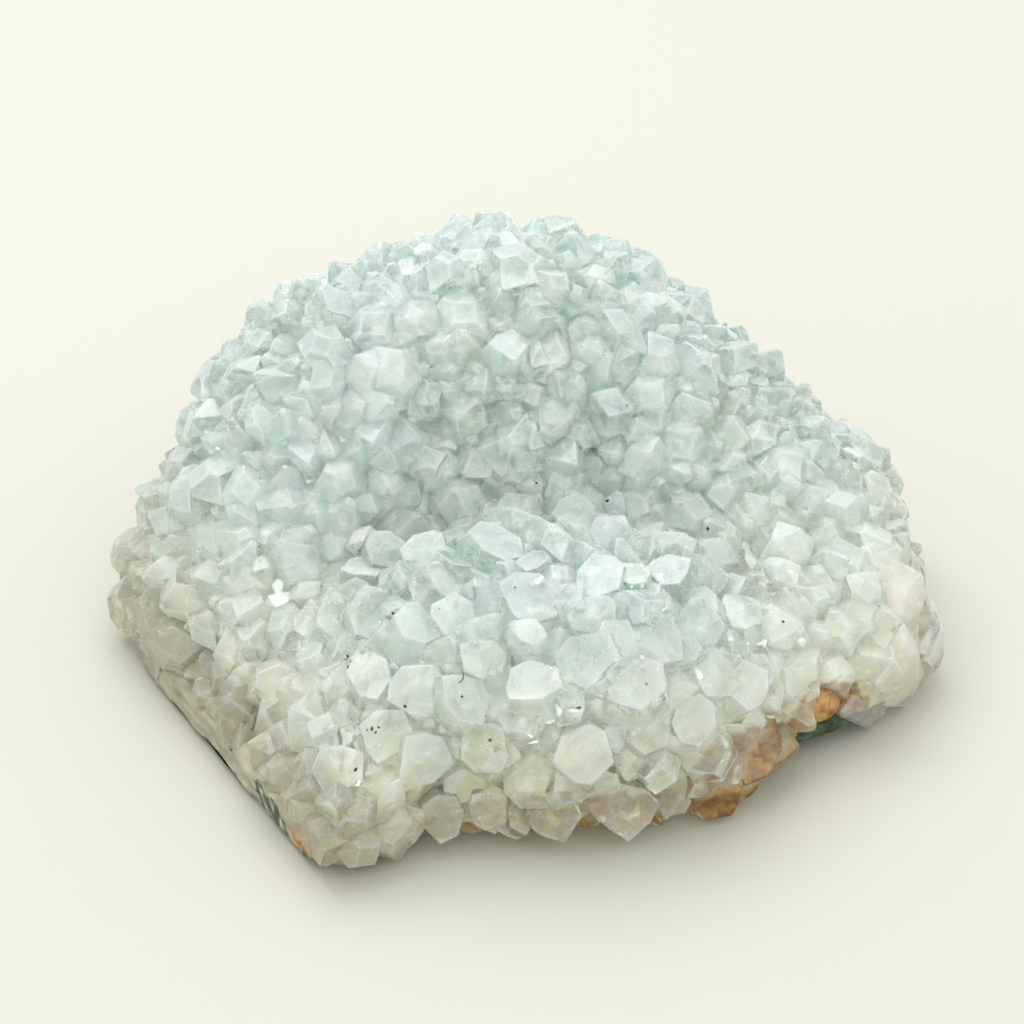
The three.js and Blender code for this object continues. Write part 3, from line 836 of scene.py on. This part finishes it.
tabletIndex, tabletPoints = plant(18000, 3000, bossSpacing(0.5, crystals["tabletSpacing"]),
                                  largeTablets[:, :3], crystals["tabletGap"])
taken = np.concatenate([largeTablets[:, :3], tabletPoints])
offIndex, offPoints = plant(21000, 3000, bossSpacing(0.45, crystals["smallTabletSpacing"]),
                            taken, crystals["smallTabletGap"])
taken = np.concatenate([taken, offPoints, placedBlocks[:, :3]])
mainIndex, mainPoints = plant(1, crystals["darts"], mainSpacing, taken, crystals["mainGap"])
taken = np.concatenate([taken, mainPoints])
fillIndex, fillPoints = plant(30000, 20000, fillSpacing, taken, crystals["fillGap"])
endIndex, endPoints = plant(60000, 800, endSpacing)
print("sites", len(mainIndex), len(fillIndex), len(tabletIndex), len(offIndex), len(endIndex))

mainPoints, fillPoints = setBack(mainPoints), setBack(fillPoints)
mainRoom = creaseRoom(mainPoints) * lowTop(mainPoints)
fillRoom = creaseRoom(fillPoints) * lowTop(fillPoints) * mix(1, 0.75, bossShares(fillPoints))
blocks = joinTables(grow(mainIndex, mainPoints, mainKind, mainRoom),
                    grow(fillIndex, fillPoints, fillKind, fillRoom),
                    placeBlocks(70000, placedBlocks))
plates = joinTables(growTablets(tabletIndex, tabletPoints, tabletKind),
                    growTablets(offIndex, offPoints, smallTabletKind),
                    placeTablets(71000, largeTablets))
massive = joinTables(grow(endIndex, endPoints, endKind), placeBlocks(72000, endBlocks))


def shapeCrystals(table, corners, pattern, width, share=0.0):
    # from their own frame to the body's and bevelled; one list entry each, with its tint,
    # iron stain (its deep end partly painted shade), massiveness and rim, 1 on the edges and 0
    # in the middles of the faces, which the material turns into a painted edge highlight
    frameOf = np.stack([table["across"], table["beside"], table["axis"]], 1)
    corners = table["site"][:, None, :] + corners @ frameOf
    # the iron stain share of each crystal; where it is deepest, low under the front, it is partly
    # painted shade
    stainAndShade = patchShare(corners[:, corners.shape[1] // 2:].mean(1), body["ironAndShadePatches"])
    stainAndShade = smooth(0.05, 0.6, stainAndShade) * between((0.5, 1.0), table["index"], 34)
    widths = np.minimum(width, table["halfX"] * 0.1)
    points = bevel(corners, pattern, widths, table["index"]) * millimetre
    # rim marks the bevelled corners, which the material whitens as a painted edge highlight
    rim = np.arange(points.shape[1]) < len(pattern[0])
    return [(spot, pattern[1], tint, iron, share, rim)
            for spot, tint, iron in zip(points, table["tint"], stainAndShade)]


def slabFaces(rows, columns):
    # a closed slab from two equal grids of points, the first facing out, the second behind
    number = np.arange(rows * columns).reshape(rows, columns)
    sheet = np.stack([number[:-1, :-1], number[1:, :-1], number[1:, 1:], number[:-1, 1:]],
                     -1).reshape(-1, 4)
    loop = np.concatenate([number[:, 0], number[-1, 1:], number[-2::-1, -1], number[0, -2:0:-1]])
    after = np.roll(loop, -1)
    border = np.stack([after, loop, loop + rows * columns, after + rows * columns], -1)
    return np.concatenate([sheet, sheet[:, ::-1] + rows * columns, border])


def cutBlocks():
    # what is cut away from the crystals: all that lies past the broken face, whose grid is
    # its plane plus its wave, and all that lies below the lowest level
    along = np.array([breakNormal[1], -breakNormal[0], 0.0])
    across, up = np.meshgrid(np.arange(-72, 73, 1.2), np.arange(-9, 84, 1.2), indexing="ij")
    face = (breakNormal * body["breakOffset"] + across[..., None] * along
            + up[..., None] * [0, 0, 1])
    near = face + breakWave(face)[..., None] * breakNormal
    past = np.concatenate([near.reshape(-1, 3), (face + 45 * breakNormal).reshape(-1, 3)])
    level = np.array([[x, y, z] for z in (body["lowest"], -20.0) for x, y in
                      ((-95, -95), (-95, 95), (95, -95), (95, 95))])
    return [(past * millimetre, slabFaces(*across.shape), 0.5, 0, 0, 0),
            (level * millimetre, slabFaces(2, 2), 0.5, 0, 0, 0)]


def holdSolids(name, solids):
    # a collection of plain objects, one for each solid
    group = bpy.data.collections.new(name)
    for k, (spot, faces, *values) in enumerate(solids):
        mesh = bpy.data.meshes.new(f"{name}{k}")
        mesh.from_pydata(spot.tolist(), [], [tuple(face) for face in faces])
        for key, value in zip(("tint", "iron", "massive", "rim"), values):
            addValues(mesh, key, value)
        group.objects.link(bpy.data.objects.new(mesh.name, mesh))
    scene.collection.children.link(group)
    return group


def uniteSolids(name, solids):
    # every crystal is a closed solid; all are united into one skin, so that light finds
    # no walls inside, and the skin is cut at the break and at the lowest level
    groups = [holdSolids(name + "Parts", solids), holdSolids(name + "Cuts", cutBlocks())]
    whole = addObject(name + "Whole", groups[0].objects[0].data)
    groups[0].objects.unlink(groups[0].objects[0])
    for group, operation in zip(groups, ("UNION", "DIFFERENCE")):
        joining = whole.modifiers.new(operation.lower(), "BOOLEAN")
        joining.operation = operation
        joining.operand_type = "COLLECTION"
        joining.collection = group
        joining.solver = "MANIFOLD"
    graph = bpy.context.evaluated_depsgraph_get()
    mesh = bpy.data.meshes.new_from_object(whole.evaluated_get(graph))
    bpy.data.batch_remove([whole, *groups[0].objects, *groups[1].objects, *groups])
    bpy.data.batch_remove([m for m in bpy.data.meshes if m.users == 0 and m != mesh])
    mesh.name = name
    mesh.polygons.foreach_set("material_index", np.zeros(len(mesh.polygons), np.int32))
    return mesh


blockPattern, platePattern = bevelPattern(crystalFaces), bevelPattern(tabletFaces)
solids = (shapeCrystals(blocks, crystalCorners(blocks), blockPattern, crystals["bevel"])
          + shapeCrystals(plates, tabletCorners(plates), platePattern, crystals["bevel"])
          + shapeCrystals(massive, crystalCorners(massive), blockPattern,
                          crystals["endBevel"], 0.85))
druse = addPiece("druseCrystals", uniteSolids("druseCrystals", solids), clearApophyllite())
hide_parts("crystal_cluster")

root = {
    "rows": 160,
    "columns": 360,
    "sunk": 3.1,  # depths under the body's surface
    "underCrystals": 5.5,
    "rimDepth": 0.5,
    "endDepth": 2.2,
    "hollowDepth": 0.8,
    "grain": 3.0,
    "roughness": 0.4,
    "facet": 5.0,
    "facetSlope": 0.5,
}


def makeRoot():
    # each ray from the heart is as long as the body allows, less the depth under the
    # crystals, and cut off at the break and at the lowest level
    rows, columns = root["rows"], root["columns"]
    rise = np.pi * (np.arange(rows) + 0.5) / rows - np.pi / 2
    turn = 2 * np.pi * np.arange(columns) / columns
    rise, turn = np.meshgrid(rise, turn, indexing="ij")
    rays = np.stack([np.cos(rise) * np.cos(turn), np.cos(rise) * np.sin(turn), np.sin(rise)], -1)
    rays = np.concatenate([rays.reshape(-1, 3), [[0, 0, -1.0], [0, 0, 1.0]]])
    points = surfacePoints(rays)
    normals = surfaceNormals(points)
    rim, end = rimShare(points), endShare(points)
    depth = root["sunk"] * creaseRoom(points)
    depth = mix(root["underCrystals"], depth, smooth(2, 9, points[:, 2]))
    depth = mix(depth, root["endDepth"], end)
    depth = mix(depth, root["rimDepth"], np.maximum(rim, patchShare(points, body["ledge"])))
    depth = mix(depth, root["hollowDepth"], patchShare(points, body["hollow"]))
    depth += root["roughness"] * mix(0.5, 2, rim) * crackle(points, root["grain"], 3)
    tilted, tone = grainFacets(points, root["facet"])
    depth += root["facetSlope"] * tilted * (1 - np.maximum(rim, end))
    depth += crestDrop(points)
    points = leanBack(points - normals * depth[:, None], 2.0 + root["sunk"])
    past = pastBreak(points) - breakWave(points) + 0.15
    nearBreak = smooth(-16, -9, past) * smooth(14, 10, points[:, 2])
    bared = np.maximum(np.maximum(smooth(-1.0, 0.3, past), rim), nearBreak)
    points = points - np.maximum(past, 0)[:, None] * breakNormal
    points[:, 2] = np.maximum(points[:, 2], body["lowest"] + 0.2)
    return makeMesh("milkyRoot", points, tubeFaces(rows, columns), bared=bared, massive=end,
                    tone=tone, iron=patchShare(points, body["ironAndShadePatches"]),
                    celadonite=patchShare(points, body["celadonitePatches"]))


milky = addPiece("milkyRoot", makeRoot(), milkyRootStone())
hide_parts("crystal_cluster")

rock = {
    "outline": np.array([
        [-18, -45], [0, -41], [20, -37], [35, -31], [50.5, -32.5], [62.5, -25], [68, -12.5],
        [69, 10], [65, 31], [50, 49], [26, 62], [-2, 65], [-28, 61], [-49, 50], [-60, 32],
        [-61, 12], [-57, -4], [-49, -19], [-43, -33], [-44.2, -44], [-37.6, -55],
        [-34.3, -61.3], [-31, -62], [-26, -56]], float),
    # share of the outline and height: resting face, slope, broken rim, side and top
    "profile": np.array([
        [0.33, 0], [0.62, 0], [0.70, 0.3], [0.78, 1], [0.86, 1.9], [0.93, 2.6], [0.97, 3],
        [0.99, 3.4], [0.995, 3.9], [0.995, 4.5], [0.99, 5.1], [0.985, 5.6], [0.96, 5.9],
        [0.8, 6], [0.4, 6]]),
    "columns": 440,
    "roughness": 0.35,
}


def makeRock():
    # the outline, drawn as evenly spaced points, carried up the profile and roughened
    corners, profile, columns = rock["outline"], rock["profile"], rock["columns"]
    lengths = np.linalg.norm(np.roll(corners, -1, 0) - corners, axis=1)
    along = np.concatenate([[0], np.cumsum(lengths)])
    spots = np.arange(columns) / columns * along[-1]
    closed = np.concatenate([corners, corners[:1]])
    ring = np.stack([np.interp(spots, along, closed[:, k]) for k in (0, 1)], -1)
    points = np.empty((len(profile), columns, 3))
    points[..., :2] = profile[:, None, :1] * ring
    points[..., 2] = profile[:, 1:]
    rough = crackle(points, 4.0, 4)
    loose = smooth(0.6, 0.8, profile[:, 0])[:, None] * smooth(6.1, 5.4, profile[:, 1])[:, None]
    points[..., :2] += unit(ring) * (rough * rock["roughness"] * loose)[..., None]
    points[..., 2] += crackle(points + 31.0, 5.0, 3) * rock["roughness"] * loose
    points[..., 2] = np.maximum(points[..., 2], 0)
    points = np.concatenate([points.reshape(-1, 3), [[0, 0, 0], [0, 0, 6.0]]])
    return makeMesh("matrixRock", points, tubeFaces(len(profile), columns))


plate = addPiece("matrixRock", makeRock(), matrixBasalt())
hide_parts("matrix_rock")

dirt = {
    "from": np.array([0.0, -0.866, 0.5]),  # the side that the specks lie on
    # places across and up a plane square to that side, millimetres
    "specks": np.array([
        [-27.8, -24.4], [-27.2, -25.2], [-27.6, -26.1], [-23, -35.6], [-22.4, -36.2],
        [-23.8, -35.8], [-21.9, -35.4], [4, 5.6], [4.4, 5.2], [-8.2, -30.2], [22, -28.2],
        [10.9, -31.9], [-32, -39.6], [-25.5, -42], [-3.6, -37.4], [-37.6, -20],
        [-20, -17], [-12, -16], [28.5, -12.2], [-14.4, 26], [35, -3],
        [17, 2], [-41, -8], [-17.6, -32], [-4.3, -33.5], [47, -19],
        [-33.5, -13], [0.5, -12.5], [20.5, 19], [-45, 6]]),
    "size": (0.14, 0.34),
    "fibreMiddle": np.array([-8.1, -27.4]),
    "fibreHalf": 1.1,
    "fibreBend": 0.45,
    "fibreRadius": 0.09,
    "fibreTurn": -0.9,
    "fibreRows": 25,
    "fibreSides": 8,
}


def meshTree(mesh):
    points = np.empty(len(mesh.vertices) * 3, np.float32)
    mesh.vertices.foreach_get("co", points)
    corners = np.empty(len(mesh.loop_triangles) * 3, np.int32)
    mesh.loop_triangles.foreach_get("vertices", corners)
    return BVHTree.FromPolygons(points.reshape(-1, 3).tolist(), corners.reshape(-1, 3).tolist())


def landOn(tree, places):
    # straight lines along "from" meet the crystals: the first point met and its normal
    out = dirt["from"]
    across = np.array([1.0, 0.0, 0.0])
    up = np.cross(out, across)
    found = []
    for a, b in places:
        start = (across * a + up * b + [0, 0, 32] + out * 200) * millimetre
        spot, normal, _, _ = tree.ray_cast(start, -out)
        found.append((np.array(spot) / millimetre, np.array(normal)))
    return [np.array(column) for column in zip(*found)]


def makeSpecks(tree):
    # each speck is a flattened six-cornered grain, half sunk in the face it lies on
    spots, normals = landOn(tree, dirt["specks"])
    index = np.arange(80000, 80000 + len(spots))
    across = unit(np.cross(normals, chances(index, 1, 2, 3) - 0.5))
    beside = np.cross(normals, across)
    size = mix(*dirt["size"], chance(index, 4) ** 2)[:, None]
    long = size * between((1.0, 2.2), index, 5)[:, None]
    corners = np.stack([across * long, beside * size, -across * long, -beside * size,
                        normals * size * 0.6, -normals * size * 0.6], 1) + spots[:, None]
    one = np.array([[0, 1, 4], [1, 2, 4], [2, 3, 4], [3, 0, 4],
                    [1, 0, 5], [2, 1, 5], [3, 2, 5], [0, 3, 5]])
    faces = one[None] + 6 * np.arange(len(spots))[:, None, None]
    return makeMesh("soilSpecks", corners.reshape(-1, 3), [faces.reshape(-1, 3)], False)


def makeFibre(tree):
    # a tube round a shallow arc that lies on the face under its middle
    rows, columns = dirt["fibreRows"], dirt["fibreSides"]
    spots, normals = landOn(tree, dirt["fibreMiddle"][None])
    t = np.linspace(-1, 1, rows)
    normal = normals[0]
    across = unit(np.cross([math.sin(dirt["fibreTurn"]), 0, math.cos(dirt["fibreTurn"])], normal))
    beside = np.cross(normal, across)
    line = (spots[0] + across * (dirt["fibreHalf"] * t)[:, None]
            + beside * (dirt["fibreBend"] * t * t)[:, None] + normal * 0.05)
    around = np.linspace(0, 2 * np.pi, columns + 1)[:-1]
    radius = dirt["fibreRadius"] * np.sqrt(np.maximum(1 - t ** 4, 0.05))
    ring = np.cos(around)[:, None] * beside + np.sin(around)[:, None] * normal
    points = line[:, None] + radius[:, None, None] * ring
    points = np.concatenate([points.reshape(-1, 3), line[:1], line[-1:]])
    return makeMesh("plantFibre", points, tubeFaces(rows, columns))


skin = meshTree(druse.data)
grit = darkGrit()
addPiece("soilSpecks", makeSpecks(skin), grit)
addPiece("plantFibre", makeFibre(skin), grit)

studio = {
    "cameraDistance": 480.0,
    "cameraHeightAngle": 30.0,
    "target": np.array([0.0, 0.0, 32.0]),
    "lens": 93.375,
    "world": 1.55,
    "worldColour": "#f2f4f3",
    "floor": "#b4b3a8",
    "floorHalf": 3.0,  # metres
    "lightTarget": np.array([0, 0, 0.03]),
    "lights": [  # name, place, width, power, colour
        ("softTop", (-0.15, 0.35, 0.9), 1.0, 5.7, "#ffffff"),
        ("frontFill", (0.1, -0.9, 0.3), 0.6, 1.3, "#fff1de"),
        ("leftGlint", (-0.5, 0.3, 0.85), 0.11, 0.3, "#ffffff"),
        ("rightGlint", (0.45, -0.54, 0.72), 0.1, 0.3, "#ffffff")],
}


def addHolder(name, data, place, aim):
    # an object at a place, turned about X and then Z so that its -Z looks along the aim
    holder = addObject(name, data)
    holder.location = place
    flat = math.hypot(aim[0], aim[1])
    holder.rotation_euler = (math.atan2(flat, -aim[2]), 0.0, math.atan2(-aim[0], aim[1]))
    return holder


def makeFloor():
    # a wide level sheet of painted board under the part
    half = studio["floorHalf"]
    mesh = bpy.data.meshes.new("floor")
    mesh.from_pydata([(-half, -half, 0), (half, -half, 0), (half, half, 0), (-half, half, 0)],
                     [], [(0, 1, 2, 3)])
    material, add = newMaterial("paintedBoard")
    shader = add("BsdfPrincipled", Base_Color=studio["floor"], Roughness=0.6)
    add("OutputMaterial", Surface=shader)
    mesh.materials.append(material)
    floor = addObject("floor", mesh)


makeFloor()
for name, place, width, power, colour in studio["lights"]:
    light = bpy.data.lights.new(name, "AREA")
    light.shape = "DISK"
    light.size = width
    light.energy = power
    light.color = linear(colour)[:3]
    addHolder(name, light, place, studio["lightTarget"] - place)

world = bpy.data.worlds.new("studio")
scene.world = world
world.use_nodes = True
background = world.node_tree.nodes["Background"]
background.inputs["Color"].default_value = linear(studio["worldColour"])
background.inputs["Strength"].default_value = studio["world"]

camera = bpy.data.cameras.new("camera")
camera.lens = studio["lens"]
camera.sensor_width = 36.0
camera.clip_start = 0.01
angle = math.radians(studio["cameraHeightAngle"])
back = np.array([0, -math.cos(angle), math.sin(angle)]) * studio["cameraDistance"]
scene.camera = addHolder("camera", camera, (studio["target"] + back) * millimetre,
                                     -back)
scene.view_settings.view_transform = "Standard"
print("floor, lights and camera")

print("done")
